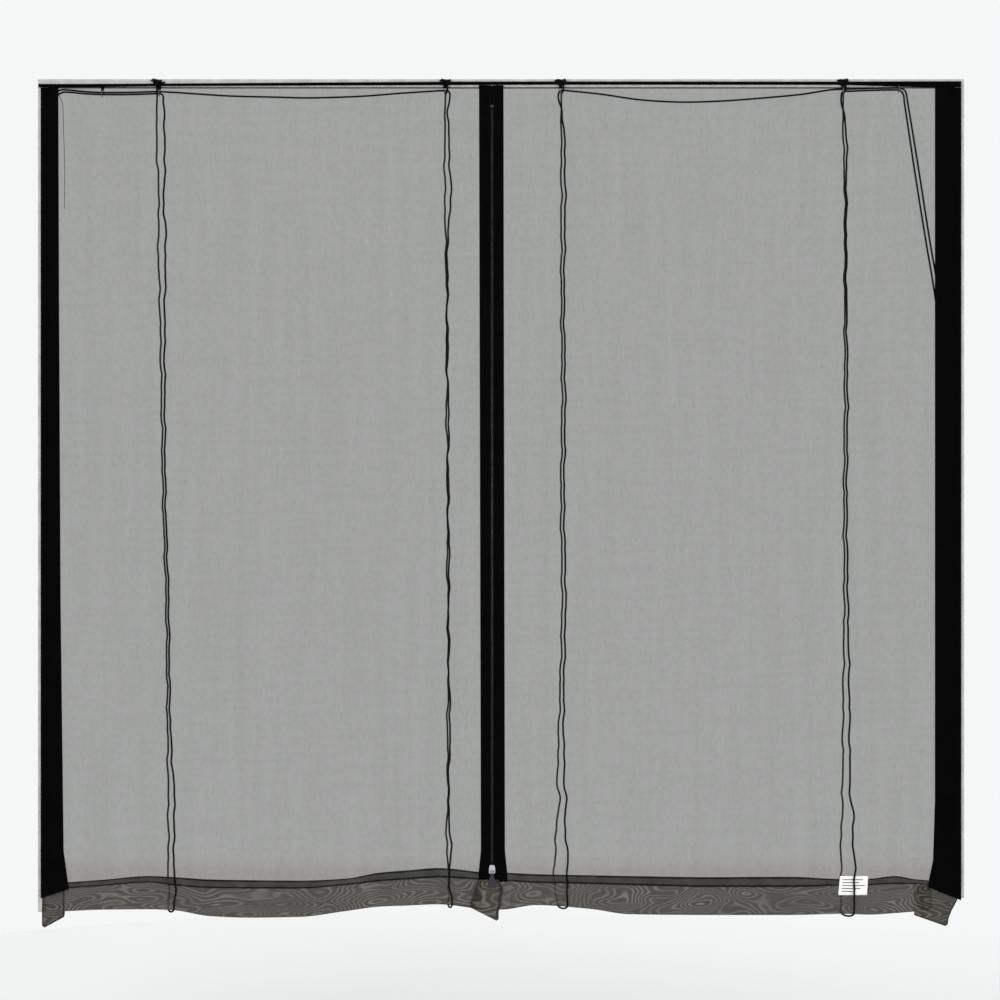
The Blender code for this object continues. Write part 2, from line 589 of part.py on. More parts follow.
# ------------------------------------------------------------------ cords
def loop_route(loop):
    """Down the back, round under the hem, up the front, and through the ring towards its side."""
    back_x, front_x, foot = loop["hem"]
    way, ring_x, turn_z = loop["turn"]
    middle = foot + TURN_LIFT
    route = [Vector((x, FREE_BACK_Y, z)) for x, z in loop["back"]]
    below = []
    for i in range(9):
        angle = math.pi * i / 8
        below.append(Vector((back_x + (front_x - back_x) * (1 - math.cos(angle)) / 2,
                             HEM_MIDDLE_Y + TURN_RADIUS * math.cos(angle),
                             middle - TURN_RADIUS * math.sin(angle))))
    rise = [Vector((x, FREE_FRONT_Y, z)) for x, z in loop["front"]]
    start_x = ring_x - way * (0.0065 if way > 0 else 0.0125)
    into_ring = [Vector((start_x, RING_CORD_Y, turn_z - TURN_SIZE - 0.012))]
    for i in range(4):
        angle = math.pi / 2 * i / 3
        into_ring.append(Vector((start_x + way * TURN_SIZE * (1 - math.cos(angle)), RING_CORD_Y,
                                 turn_z - TURN_SIZE + TURN_SIZE * math.sin(angle))))
    end = Vector((ring_x + way * LOOP_RUN_ON, RING_CORD_Y, turn_z))
    return [*smooth_route([*route, below[0]], 2), *below[1:-1],
            *smooth_route([below[-1], *rise, *into_ring, end], 2)]


def make_cords(m):
    for number, loop in LOOPS.items():
        cord(f"lift_loop_{number}", loop_route(loop), CORD, m["cord"])
        way, ring_x, turn_z = loop["turn"]
        start = (ring_x + way * (LOOP_RUN_ON + GAP), RING_CORD_Y, turn_z)
        cord(f"lead_cord_{number}", smooth_route([start, *LEADS[number]], 4), CORD, m["cord"])


def main():
    clear_scene()
    m = make_materials()
    make_hook_tape(m)
    make_header(m)
    make_ties(m)
    make_hangers(m)
    make_rings(m)
    make_side(m, "left", -1, LEFT_WEBBING_EDGE, -2.110)
    make_side(m, "right", 1, RIGHT_WEBBING_EDGE, -2.110)
    make_panel(m, "left", -1, LEFT_HEM, -0.0515)
    make_panel(m, "right", 1, RIGHT_HEM, 0.0045)
    make_corner_flaps(m)
    make_label(m)
    make_zip(m)
    make_slider(m)
    make_pull(m, "front_pull", FRONT_PIVOT_Y, -1)
    make_pull(m, "back_pull", BACK_PIVOT_Y, 1)
    make_cords(m)


main()
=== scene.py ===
"""Looks for the roll-up mesh door screen: fabric, stitching, zip teeth, cords and metal.

Units are metres. X runs along the header, the front is -Y, and Z is up from the header's middle.
"""

import math

import bmesh
import bpy
import numpy as np
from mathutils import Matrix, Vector


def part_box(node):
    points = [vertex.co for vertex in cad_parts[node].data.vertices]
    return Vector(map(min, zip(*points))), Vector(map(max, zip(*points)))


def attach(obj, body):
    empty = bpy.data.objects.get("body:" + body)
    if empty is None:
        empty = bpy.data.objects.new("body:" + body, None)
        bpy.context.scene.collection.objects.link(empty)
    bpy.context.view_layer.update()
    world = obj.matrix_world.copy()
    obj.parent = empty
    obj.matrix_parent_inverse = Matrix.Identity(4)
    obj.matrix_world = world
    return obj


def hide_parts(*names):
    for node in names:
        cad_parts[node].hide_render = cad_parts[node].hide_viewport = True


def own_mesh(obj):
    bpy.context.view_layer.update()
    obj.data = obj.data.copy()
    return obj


# ------------------------------------------------------------------ driving values
MESH_PITCH = 0.0016  # from one drawn mesh thread to the next
BRAID_PITCH = 0.006  # length of cord for one turn of its braid
DOUBLED_TOP, DOUBLED_FOOT = -2.03, -2.09  # where the mesh begins to look doubled above the hem
END_LAP = 0.0012  # how far the hem's cloth runs past the ends of its solids
CORD = 0.0050  # braid included; the solids are 4.5 mm
MESH_Y = -0.0024
FREE_BACK_Y = 0.0032
FREE_FRONT_Y = -0.0080
HEM_MIDDLE_Y = -0.00075
TURN_RADIUS = 0.0090
TURN_LIFT = 0.0055
RING_CORD_Y = -0.0140
CHANNEL_Y = -0.00565
TURN_SIZE = 0.010
LOOP_RUN_ON = 0.013
LOOP_STEPS, KINK_EASE = 14, 24  # points a stretch, and points over which kinks fade in
LINK_CLEAR = 0.0072  # from a ring's middle to the cord that drops past its hanger
TAIL_FOOT = -1.050
KNOT_TURNS, KNOT_REACH, KNOT_HEIGHT = 3, 0.0036, 0.0110
BAND_LAP = 0.0008  # how far the hem band's cloth runs down over the pocket
EDGE_THREAD = [(-1.1660, -0.022), (-1.1640, -0.031), (-1.1560, -0.050), (-1.1535, -0.070),
               (-1.1520, -0.126), (-1.1490, -0.227), (-1.1500, -0.330)]
ZIP_X = -0.0235
PATCH_FOOT = -0.0640  # of the closed part of the zip tapes above the top stop
PATCH_Y = -0.0014

PICTURE_WIDTH = 2.635  # width of the view at the screen's own plane
VIEW_CENTRE = (-0.0026, -1.0975)  # x and z that the camera looks at
LENS, SENSOR = 100.0, 36.0
FLOOR_Z = -2.62

# ------------------------------------------------------------------ cord routes
LOOPS = {
    1: {
        "side": "left",
        "back": [(-0.906, -0.020), (-0.908, -0.123), (-0.904, -0.254), (-0.901, -0.320),
                 (-0.904, -0.400), (-0.899, -0.597), (-0.895, -0.834), (-0.891, -1.097),
                 (-0.883, -1.361), (-0.880, -1.624), (-0.877, -1.901), (-0.877, -2.080)],
        "hem": (-0.877, -0.860, -2.179),
        "front": [(-0.858, -2.099), (-0.862, -2.020), (-0.859, -1.901), (-0.870, -1.700),
                  (-0.875, -1.361), (-0.883, -1.097), (-0.885, -0.834), (-0.885, -0.597),
                  (-0.883, -0.399), (-0.888, -0.307), (-0.884, -0.188), (-0.888, -0.100),
                  (-0.885, -0.070)],
        "turn": (-1, -0.899, -0.0291),
    },
    2: {
        "side": "left",
        "back": [(-0.146, -0.020), (-0.148, -0.123), (-0.148, -0.281), (-0.144, -0.518),
                 (-0.140, -0.702), (-0.144, -0.887), (-0.138, -1.045), (-0.142, -1.256),
                 (-0.137, -1.466), (-0.141, -1.677), (-0.140, -1.888), (-0.144, -2.010),
                 (-0.137, -2.080)],
        "hem": (-0.141, -0.130, -2.167),
        "front": [(-0.136, -2.099), (-0.132, -2.020), (-0.138, -1.888), (-0.134, -1.677),
                  (-0.140, -1.466), (-0.136, -1.256), (-0.142, -1.045), (-0.137, -0.887),
                  (-0.144, -0.702), (-0.140, -0.518), (-0.141, -0.412), (-0.132, -0.312),
                  (-0.136, -0.188), (-0.139, -0.080)],
        "turn": (-1, -0.148, -0.0210),
    },
    3: {
        "side": "right",
        "back": [(0.159, -0.020), (0.159, -0.123), (0.159, -0.307), (0.159, -0.570),
                 (0.161, -0.834), (0.158, -1.097), (0.161, -1.361), (0.155, -1.624),
                 (0.149, -1.835), (0.154, -1.888), (0.148, -1.940), (0.143, -2.020),
                 (0.140, -2.085)],
        "hem": (0.149, 0.174, -2.170),
        "front": [(0.175, -2.085), (0.174, -2.020), (0.168, -1.941), (0.171, -1.888),
                  (0.167, -1.835), (0.165, -1.624), (0.170, -1.361), (0.166, -1.097),
                  (0.169, -0.834), (0.166, -0.570), (0.169, -0.307), (0.166, -0.123),
                  (0.161, -0.080)],
        "turn": (1, 0.157, -0.0205),
    },
    4: {
        "side": "right",
        "back": [(0.902, -0.020), (0.902, -0.123), (0.906, -0.281), (0.906, -0.518),
                 (0.906, -0.834), (0.904, -1.097), (0.905, -1.361), (0.902, -1.624),
                 (0.900, -1.888), (0.896, -2.020), (0.896, -2.085)],
        "hem": (0.897, 0.929, -2.190),
        "front": [(0.931, -2.100), (0.931, -2.059), (0.926, -1.980), (0.928, -1.928),
                  (0.920, -1.888), (0.917, -1.624), (0.913, -1.361), (0.910, -1.097),
                  (0.912, -0.834), (0.909, -0.518), (0.909, -0.281), (0.909, -0.123),
                  (0.902, -0.080)],
        "turn": (1, 0.900, -0.0226),
    },
}
LEADS = {
    1: [(-0.970, RING_CORD_Y, -0.0310), (-1.049, RING_CORD_Y, -0.0311), (-1.096, -0.0110, -0.0285),
        (-1.136, -0.0066, -0.0240), (-1.154, CHANNEL_Y, -0.0245), (-1.167, CHANNEL_Y, -0.0320),
        (-1.173, CHANNEL_Y, -0.0480), (-1.173, CHANNEL_Y, -0.3000), (-1.172, CHANNEL_Y, -0.6500),
        (-1.171, CHANNEL_Y, TAIL_FOOT)],
    2: [(-0.266, RING_CORD_Y, -0.0280), (-0.372, RING_CORD_Y, -0.0360),
        (-0.503, RING_CORD_Y, -0.0400), (-0.596, RING_CORD_Y, -0.0380),
        (-0.714, RING_CORD_Y, -0.0350), (-0.793, RING_CORD_Y, -0.0300),
        (-0.899, RING_CORD_Y, -0.0238), (-0.970, RING_CORD_Y, -0.0255),
        (-1.049, RING_CORD_Y, -0.0259), (-1.096, -0.0110, -0.0230), (-1.136, -0.0066, -0.0182),
        (-1.158, CHANNEL_Y, -0.0180), (-1.177, CHANNEL_Y, -0.0260), (-1.1845, CHANNEL_Y, -0.0480),
        (-1.184, CHANNEL_Y, -0.3000), (-1.183, CHANNEL_Y, -0.6500), (-1.182, CHANNEL_Y, TAIL_FOOT)],
    3: [(0.261, RING_CORD_Y, -0.0300), (0.366, RING_CORD_Y, -0.0450), (0.472, RING_CORD_Y, -0.0510),
        (0.564, RING_CORD_Y, -0.0490), (0.630, RING_CORD_Y, -0.0450), (0.788, RING_CORD_Y, -0.0310),
        (0.865, RING_CORD_Y, -0.0190), (0.900, RING_CORD_Y, -0.0172), (0.980, RING_CORD_Y, -0.0146),
        (1.034, RING_CORD_Y, -0.0138), (1.050, RING_CORD_Y, -0.0143), (1.0630, -0.0137, -0.0220),
        (1.0685, -0.0134, -0.0450), (1.1010, -0.0095, -0.2400), (1.1280, -0.0068, -0.4100),
        (1.1445, CHANNEL_Y, -0.5050), (1.158, CHANNEL_Y, -0.6000), (1.164, CHANNEL_Y, -0.7000),
        (1.165, CHANNEL_Y, TAIL_FOOT)],
    4: [(0.980, RING_CORD_Y, -0.0200), (1.034, RING_CORD_Y, -0.0192),
        (1.047, RING_CORD_Y, -0.0200), (1.0575, -0.0137, -0.0290), (1.0610, -0.0134, -0.0520),
        (1.0920, -0.0095, -0.2540), (1.120, -0.0068, -0.4250), (1.138, CHANNEL_Y, -0.5300),
        (1.149, CHANNEL_Y, -0.6100), (1.153, CHANNEL_Y, -0.7000), (1.154, CHANNEL_Y, TAIL_FOOT)],
}


# ------------------------------------------------------------------ material helpers
class Nodes:
    """Short names for building a Principled material's nodes."""

    def __init__(self, name, colour, roughness=0.8, metallic=0.0, specular=0.5, alpha=1.0):
        self.material = bpy.data.materials.new(name)
        self.material.use_nodes = True
        self.tree = self.material.node_tree
        self.shader = self.tree.nodes["Principled BSDF"]
        self.set("Base Color", (*colour, 1.0))
        self.set("Roughness", roughness)
        self.set("Metallic", metallic)
        self.set("Specular IOR Level", specular)
        self.set("Alpha", alpha)

    def set(self, socket, value):
        self.shader.inputs[socket].default_value = value

    def link(self, output, socket):
        self.tree.links.new(output, self.shader.inputs[socket])

    def add(self, kind, **settings):
        node = self.tree.nodes.new(kind)
        for key, value in settings.items():
            setattr(node, key, value)
        return node

    def math(self, operation, a, b=0.0):
        node = self.add("ShaderNodeMath", operation=operation)
        for socket, value in zip(node.inputs, (a, b)):
            if isinstance(value, (int, float)):
                socket.default_value = value
            else:
                self.tree.links.new(value, socket)
        return node.outputs[0]

    def axes(self, source="Object"):
        split = self.add("ShaderNodeSeparateXYZ")
        self.tree.links.new(self.add("ShaderNodeTexCoord").outputs[source], split.inputs[0])
        return split.outputs

    def noise(self, scale, stretch=(1, 1, 1), detail=3.0, source="Object", distortion=0.0):
        mapping = self.add("ShaderNodeMapping")
        mapping.inputs["Scale"].default_value = stretch
        self.tree.links.new(self.add("ShaderNodeTexCoord").outputs[source], mapping.inputs[0])
        noise = self.add("ShaderNodeTexNoise")
        noise.inputs["Scale"].default_value = scale
        noise.inputs["Detail"].default_value = detail
        noise.inputs["Distortion"].default_value = distortion
        self.tree.links.new(mapping.outputs[0], noise.inputs["Vector"])
        return noise.outputs["Fac"]

    def threads(self, coordinate, pitch):
        """0 to 1 and back, once for each thread."""
        turn = self.math("MULTIPLY", coordinate, math.pi / pitch)
        return self.math("ABSOLUTE", self.math("SINE", turn))

    def ramp(self, value, *stops):
        node = self.add("ShaderNodeValToRGB")
        ramp = node.color_ramp
        while len(ramp.elements) < len(stops):
            ramp.elements.new(0.5)
        for element, (place, colour) in zip(ramp.elements, stops):
            element.position = place
            element.color = (*colour, 1.0)
        self.tree.links.new(value, node.inputs[0])
        return node.outputs[0]

    def scale_between(self, value, low, high):
        node = self.add("ShaderNodeMapRange")
        node.inputs["To Min"].default_value = low
        node.inputs["To Max"].default_value = high
        self.tree.links.new(value, node.inputs["Value"])
        return node.outputs[0]

    def bump(self, height, strength, distance):
        node = self.add("ShaderNodeBump")
        node.inputs["Strength"].default_value = strength
        node.inputs["Distance"].default_value = distance
        self.tree.links.new(height, node.inputs["Height"])
        self.link(node.outputs[0], "Normal")


def mesh_material():
    """Open-weave screen cloth: dark threads, holes between them, and faint streaks both ways, which
    are partly painted shade of the mesh's creases and partly uneven weave.
    """
    n = Nodes("screen_mesh", (0.025, 0.025, 0.022), 0.9, specular=0.05)
    axes = n.axes()
    weave = n.math("MAXIMUM", n.threads(axes["X"], MESH_PITCH), n.threads(axes["Z"], MESH_PITCH))
    # down and across make long faint streaks in the alpha: partly painted shade in place of the
    # shade of soft creases, partly uneven weave. slub is uneven yarn.
    down = n.noise(5.0, (6.0, 1.0, 0.35), 4.0)
    across = n.noise(9.0, (0.5, 1.0, 9.0), 5.0)
    slub = n.noise(170.0, (1.0, 1.0, 0.45), 2.0)
    holes = n.scale_between(weave, 0.43, 0.685)
    drift = n.math("ADD", n.scale_between(down, -0.030, 0.030),
                   n.scale_between(across, -0.020, 0.020))
    drift = n.math("ADD", drift, n.scale_between(slub, -0.035, 0.035))
    near_hem = n.add("ShaderNodeMapRange", interpolation_type="SMOOTHSTEP")
    for socket, value in (("From Min", DOUBLED_TOP), ("From Max", DOUBLED_FOOT),
                          ("To Min", 0.0), ("To Max", 1.0)):
        near_hem.inputs[socket].default_value = value
    n.tree.links.new(axes["Z"], near_hem.inputs["Value"])
    doubled = near_hem.outputs[0]
    n.link(n.math("ADD", n.math("ADD", holes, drift), n.math("MULTIPLY", doubled, 0.075)), "Alpha")
    n.link(n.ramp(doubled, (0.0, (0.026, 0.028, 0.021)), (1.0, (0.062, 0.044, 0.030))),
           "Base Color")
    n.bump(weave, 0.3, 0.0002)
    return n.material


def hem_material(name, dark, light, alpha):
    """Doubled mesh: two weaves over each other beat into a pattern like wood grain."""
    n = Nodes(name, dark, 0.85, specular=0.06)
    axes = n.axes()
    drift = n.noise(6.5, (0.75, 1.0, 2.3), 1.2)
    rings = n.math("SINE", n.math("MULTIPLY", drift, 190.0))
    rings = n.math("POWER", n.math("ADD", n.math("MULTIPLY", rings, 0.5), 0.5), 3.0)
    patches = n.noise(16.0, (0.6, 1.0, 1.0), 3.0)
    fleck = n.noise(700.0, (1, 1, 1), 1.0)
    grain = n.math("MULTIPLY", rings, n.scale_between(patches, -0.1, 1.1))
    mixed = n.math("ADD", n.math("MULTIPLY", grain, 0.85), n.math("MULTIPLY", fleck, 0.35))
    n.link(n.ramp(mixed, (0.10, dark), (0.85, light)), "Base Color")
    weave = n.math("MAXIMUM", n.threads(axes["X"], MESH_PITCH), n.threads(axes["Z"], MESH_PITCH))
    cover = n.math("SUBTRACT", n.scale_between(weave, alpha - 0.10, alpha + 0.05),
                   n.math("MULTIPLY", grain, 0.10))
    n.link(cover, "Alpha")
    n.bump(weave, 0.4, 0.0002)
    return n.material


def band_material(name, cover):
    """The hem's stitched band: a dark thread line along each edge, made of single stitches."""
    n = Nodes(name, (0.03, 0.03, 0.028), 0.85, specular=0.06)
    uv = n.axes("UV")
    from_middle = n.math("ABSOLUTE", n.math("SUBTRACT", uv["Y"], 0.5))
    near_edge = n.math("GREATER_THAN", from_middle, 0.30)
    stitch = n.math("GREATER_THAN", n.threads(uv["X"], 0.0035), 0.35)
    line = n.math("MULTIPLY", near_edge, n.scale_between(stitch, 0.65, 1.0))
    patchy = n.noise(45.0, (0.6, 1, 1), 3.0)
    shade = n.math("SUBTRACT", n.scale_between(patchy, 0.35, 1.15), n.math("MULTIPLY", line, 0.7))
    n.link(n.ramp(shade, (0.0, (0.006, 0.006, 0.006)), (1.0, (0.050, 0.048, 0.043))), "Base Color")
    thick = n.math("SUBTRACT", 1.0,
                   n.math("MULTIPLY", n.scale_between(shade, 0.0, 1.0), 1.0 - cover))
    n.link(thick, "Alpha")
    n.bump(n.math("ADD", line, n.math("MULTIPLY", patchy, 0.3)), 0.6, 0.0006)
    return n.material


def webbing_material(name, along, base=0.0013):
    """Woven webbing with ribs along its length, a fine cross thread, and dust-grey wear."""
    n = Nodes(name, (base, base, base * 1.15), 0.92, specular=0.008)
    axes = n.axes()
    across = "Z" if along == "X" else "X"
    ribs = n.threads(axes[across], 0.0021)
    picks = n.threads(axes[along], 0.0013)
    cloth = n.math("ADD", n.math("MULTIPLY", ribs, 0.7), n.math("MULTIPLY", picks, 0.3))
    wear = n.noise(14.0, (1, 1, 1), 5.0)
    shade = n.math("ADD", n.math("MULTIPLY", cloth, 0.5), n.math("MULTIPLY", wear, 0.5))
    n.link(n.ramp(shade, (0.25, (base * 0.6,) * 3), (0.9, (base * 2.2, base * 2.2, base * 2.5))),
           "Base Color")
    n.link(n.scale_between(wear, 0.8, 0.95), "Roughness")
    n.bump(cloth, 0.7, 0.0003)
    return n.material


def hook_material():
    """Pale hook tape: rows of fine hooks on a grey woven back."""
    n = Nodes("hook_tape_cloth", (0.5, 0.5, 0.48), 0.8, specular=0.2)
    axes = n.axes()
    hooks = n.math("MULTIPLY", n.threads(axes["X"], 0.0012), n.threads(axes["Z"], 0.0012))
    patchy = n.noise(30.0, (1, 1, 1), 4.0)
    mixed = n.math("ADD", n.math("MULTIPLY", hooks, 0.4), n.math("MULTIPLY", patchy, 0.6))
    n.link(n.ramp(mixed, (0.2, (0.30, 0.30, 0.29)), (0.8, (0.62, 0.62, 0.60))), "Base Color")
    n.bump(hooks, 0.8, 0.0004)
    return n.material


def cord_material():
    """Braided cord: two sets of strands that cross round it, from the tube's own UVs."""
    n = Nodes("braided_cord", (0.004, 0.004, 0.004), 0.75, specular=0.04)
    uv = n.axes("UV")
    around = n.math("MULTIPLY", uv["X"], 2 * math.pi * 4)
    forward = n.math("MULTIPLY", uv["Y"], 2 * math.pi / BRAID_PITCH)
    one = n.math("SINE", n.math("ADD", around, forward))
    other = n.math("SINE", n.math("SUBTRACT", around, forward))
    braid = n.math("MAXIMUM", one, other)
    n.link(n.ramp(braid, (0.0, (0.0015, 0.0015, 0.0015)), (1.0, (0.007, 0.007, 0.0075))),
           "Base Color")
    n.bump(braid, 0.8, 0.0004)
    return n.material


def metal_material(name, dark, light, roughness):
    n = Nodes(name, light, roughness, metallic=1.0)
    rub = n.noise(350.0, (1, 1, 3), 4.0)
    n.link(n.ramp(rub, (0.3, dark), (0.75, light)), "Base Color")
    n.link(n.scale_between(rub, roughness * 0.8, roughness * 1.35), "Roughness")
    n.bump(rub, 0.08, 0.0002)
    return n.material


def coil_material():
    n = Nodes("nylon_coil", (0.003, 0.003, 0.004), 0.6, specular=0.06)
    speck = n.noise(600.0, (1, 1, 1), 2.0)
    n.link(n.ramp(speck, (0.3, (0.002, 0.002, 0.0025)), (0.8, (0.006, 0.006, 0.007))),
           "Base Color")
    n.link(n.scale_between(speck, 0.55, 0.7), "Roughness")
    return n.material


def label_material():
    n = Nodes("label_satin", (0.86, 0.86, 0.84), 0.6, specular=0.3)
    axes = n.axes()
    cloth = n.math("ADD", n.threads(axes["X"], 0.0006), n.threads(axes["Z"], 0.0006))
    shade = n.noise(80.0, (1, 1, 1), 3.0)
    n.link(n.ramp(shade, (0.3, (0.80, 0.80, 0.78)), (0.7, (0.90, 0.90, 0.88))), "Base Color")
    n.bump(cloth, 0.3, 0.0001)
    return n.material


def print_material():
    n = Nodes("label_print", (0.12, 0.12, 0.12), 0.7, specular=0.2)
    shade = n.noise(400.0, (1, 1, 1), 2.0)
    n.link(n.ramp(shade, (0.3, (0.09, 0.09, 0.09)), (0.7, (0.2, 0.2, 0.2))), "Base Color")
    return n.material


def make_materials():
    return {
        "mesh": mesh_material(),
        "pocket": hem_material("hem_pocket_cloth", (0.028, 0.025, 0.020),
                               (0.140, 0.130, 0.110), 0.77),
        "flap": hem_material("flap_cloth", (0.024, 0.021, 0.016), (0.125, 0.116, 0.097), 0.82),
        "band": band_material("hem_band_cloth", 0.66),
        "fold": band_material("top_fold_cloth", 0.9),
        "seam": band_material("flap_fold_cloth", 0.75),
        "webbing_x": webbing_material("webbing_along_header", "X"),
        "webbing_z": webbing_material("webbing_down_side", "Z"),
        "tape": webbing_material("zip_tape_cloth", "Z", 0.0017),
        "loop": webbing_material("loop_tape_cloth", "X", 0.004),
        "hook": hook_material(),
        "cord": cord_material(),
        "ring": metal_material("nickel_wire", (0.06, 0.06, 0.065), (0.26, 0.27, 0.28), 0.32),
        "slider": metal_material("bright_metal", (0.32, 0.33, 0.35),
                                 (0.86, 0.87, 0.90), 0.22),
        "pull": metal_material("gunmetal", (0.018, 0.018, 0.021), (0.085, 0.085, 0.095), 0.34),
        "coil": coil_material(),
        "label": label_material(),
        "print": print_material(),
    }


# ------------------------------------------------------------------ shape helpers
def link_mesh(name, verts, faces, material, uvs=None, smooth=True):
    mesh = bpy.data.meshes.new(name)
    mesh.from_pydata([tuple(v) for v in verts], [], faces)
    if smooth:
        mesh.shade_smooth()
    if uvs is not None:
        layer = mesh.uv_layers.new(name="UVMap")
        for loop in mesh.loops:
            layer.data[loop.index].uv = uvs[loop.vertex_index]
    mesh.materials.append(material)
    obj = bpy.data.objects.new(name, mesh)
    bpy.context.scene.collection.objects.link(obj)
    return obj


def grid(name, columns, rows, place, material, uv=None, thickness=None):
    """A cloth of columns by rows quads. place(u, v) gives a point, with u and v from 0 to 1."""
    verts, faces, uvs = [], [], []
    for j in range(rows + 1):
        for i in range(columns + 1):
            u, v = i / columns, j / rows
            point = place(u, v)
            verts.append(point)
            uvs.append(uv(u, v) if uv else (point[0], point[2]))
    for j in range(rows):
        for i in range(columns):
            a = j * (columns + 1) + i
            faces.append((a, a + 1, a + columns + 2, a + columns + 1))
    obj = link_mesh(name, verts, faces, material, uvs)
    if thickness:
        solid = obj.modifiers.new("thickness", "SOLIDIFY")
        solid.thickness = thickness
        solid.offset = 0
    return obj


def profile(node):
    """x, top and foot along a CAD strip, from its own corners."""
    points = np.array([v.co[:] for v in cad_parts[node].data.vertices])
    xs = np.unique(np.round(points[:, 0], 5))
    rows = [points[np.abs(points[:, 0] - x) < 2e-5] for x in xs]
    return xs, np.array([r[:, 2].max() for r in rows]), np.array([r[:, 2].min() for r in rows])


def eased(x, xs, values):
    """The strip's edge at x, as a smooth curve through its stations."""
    i = int(np.clip(np.searchsorted(xs, x) - 1, 0, len(xs) - 2))
    rises = np.diff(values) / np.diff(xs)
    ahead, behind = rises[1:], rises[:-1]
    slopes = np.zeros(len(xs))
    level = np.where(ahead * behind > 0, 1.0, 0.0)
    slopes[1:-1] = level * 2 * ahead * behind / np.where(level > 0, ahead + behind, 1.0)
    slopes[0], slopes[-1] = rises[0], rises[-1]
    width = xs[i + 1] - xs[i]
    t = (x - xs[i]) / width
    return float(values[i] * (2 * t**3 - 3 * t**2 + 1) + values[i + 1] * (3 * t**2 - 2 * t**3)
                 + width * (slopes[i] * (t**3 - 2 * t**2 + t) + slopes[i + 1] * (t**3 - t**2)))


def stand_in(node, material, bevel=0.0004):
    """A copy of a CAD solid with softened edges, which takes the hidden solid's place."""
    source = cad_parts[node]
    obj = bpy.data.objects.new(f"{node}_cloth", source.data.copy())
    bpy.context.scene.collection.objects.link(obj)
    obj.data.materials.clear()
    obj.data.materials.append(material)
    soften_edges(obj, bevel)
    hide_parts(node)
    return obj


def soften_edges(obj, width):
    edge = obj.modifiers.new("soft_edge", "BEVEL")
    edge.width = width
    edge.segments = 2
    edge.limit_method = "ANGLE"


def dress(node, material, bevel=0.0003, subdivision=0):
    """A CAD node that stays, with its finished material and softened edges."""
    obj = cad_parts[node]
    obj.data.materials.clear()
    obj.data.materials.append(material)
    if subdivision:
        obj.modifiers.new("round", "SUBSURF").render_levels = subdivision
        obj.modifiers["round"].levels = subdivision
        obj.data.shade_smooth()
    else:
        soften_edges(obj, bevel)


def gather(obj):
    """obj hangs from the header: it is parented to the header's body and given a mesh of its own.
    """
    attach(obj, "header")
    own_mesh(obj)


def smooth_route(points, steps):
    """A Catmull-Rom curve through the points, with steps points for each stretch."""
    points = [Vector(p) for p in points]
    ends = [2 * points[0] - points[1], *points, 2 * points[-1] - points[-2]]
    route = []
    for a, b, c, d in zip(ends, ends[1:], ends[2:], ends[3:]):
        reach = (c - b).length
        leave = (c - a).normalized() * reach
        arrive = (d - b).normalized() * reach
        for i in range(steps):
            t = i / steps
            route.append(b * (2 * t**3 - 3 * t**2 + 1) + c * (3 * t**2 - 2 * t**3)
                         + leave * (t**3 - 2 * t**2 + t) + arrive * (t**3 - t**2))
    return [*route, points[-1]]


def tube(name, route, diameter, material, sides=10):
    """A round tube along a route, with UVs for its braid: round it, and metres along it."""
    verts, faces, uvs = [], [], []
    along = (route[1] - route[0]).normalized()
    side = along.orthogonal().normalized()
    travelled = 0.0
    for i, point in enumerate(route):
        ahead = (route[min(i + 1, len(route) - 1)] - route[max(i - 1, 0)]).normalized()
        side = (side - side.dot(ahead) * ahead).normalized()
        up = ahead.cross(side)
        if i:
            travelled += (point - route[i - 1]).length
        for k in range(sides):
            angle = 2 * math.pi * k / sides
            verts.append(point + diameter / 2 * (math.cos(angle) * side + math.sin(angle) * up))
            uvs.append((k / sides, travelled))
    for i in range(len(route) - 1):
        for k in range(sides):
            a, b = i * sides + k, i * sides + (k + 1) % sides
            faces.append((a, b, b + sides, a + sides))
    faces.append(tuple(reversed(range(sides))))
    faces.append(tuple(range(len(verts) - sides, len(verts))))
    return link_mesh(name, verts, faces, material, uvs)


def limp(route, ease, seed):
    """Small kinks that a limp cord keeps from being folded, faded out at its ends."""
    kinked = []
    for i, p in enumerate(route):
        fade = min(1.0, i / ease, (len(route) - 1 - i) / ease)
        sway = (0.0013 * math.sin(p.z * 47 + seed) + 0.0010 * math.sin(p.z * 83 + 2.3 * seed)
                + 0.0006 * math.sin(p.z * 139 + 1.7 * seed))
        kinked.append(p + Vector((sway * fade, 0, 0)))
    return kinked


# ------------------------------------------------------------------ fabric
def ripple(x, z):
    """How far hung mesh stands off flat: shallow upright folds and slack across them."""
    return (0.0006 * math.sin(27 * x + 1.3 * math.sin(2.1 * z))
            + 0.0005 * math.sin(61 * x - 2.0 * z + 0.8) + 0.0004 * math.sin(24 * z + 3.0 * x))


def make_panel(side, m):
    node = f"{side}_mesh_panel"
    low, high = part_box(node)
    xs, _, feet = profile(node)
    band_xs, _, band_feet = profile(f"{side}_hem_band")
    columns, rows = 180, 140

    def place(u, v):
        x = low.x + (high.x - low.x) * u
        foot = eased(x, xs, feet)
        if band_xs[0] < x < band_xs[-1]:
            foot = eased(x, band_xs, band_feet) + 0.001
        z = high.z + (foot - high.z) * v
        return (x, MESH_Y + ripple(x, z) * math.sin(math.pi * min(1.0, max(0.0, v))) ** 0.5, z)

    panel = grid(f"{side}_screen", columns, rows, place, m["mesh"])
    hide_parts(node)
    gather(panel)

    def fold_place(u, v):
        x = low.x + (high.x - low.x) * u
        return (x, MESH_Y - 0.0009, high.z + 0.0012 - 0.0034 * v)

    fold = grid(f"{side}_top_fold", 60, 2, fold_place, m["fold"],
                uv=lambda u, v: ((high.x - low.x) * u, v), thickness=0.0004)
    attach(fold, "header")


def make_edge_thread(m):
    """The left panel's rolled edge, which shows just inside the webbing near the header."""
    route = smooth_route([(x, MESH_Y - 0.0012, z) for x, z in EDGE_THREAD], 8)
    thread = tube("left_mesh_edge_thread", route, 0.0014, m["tape"], sides=6)
    gather(thread)


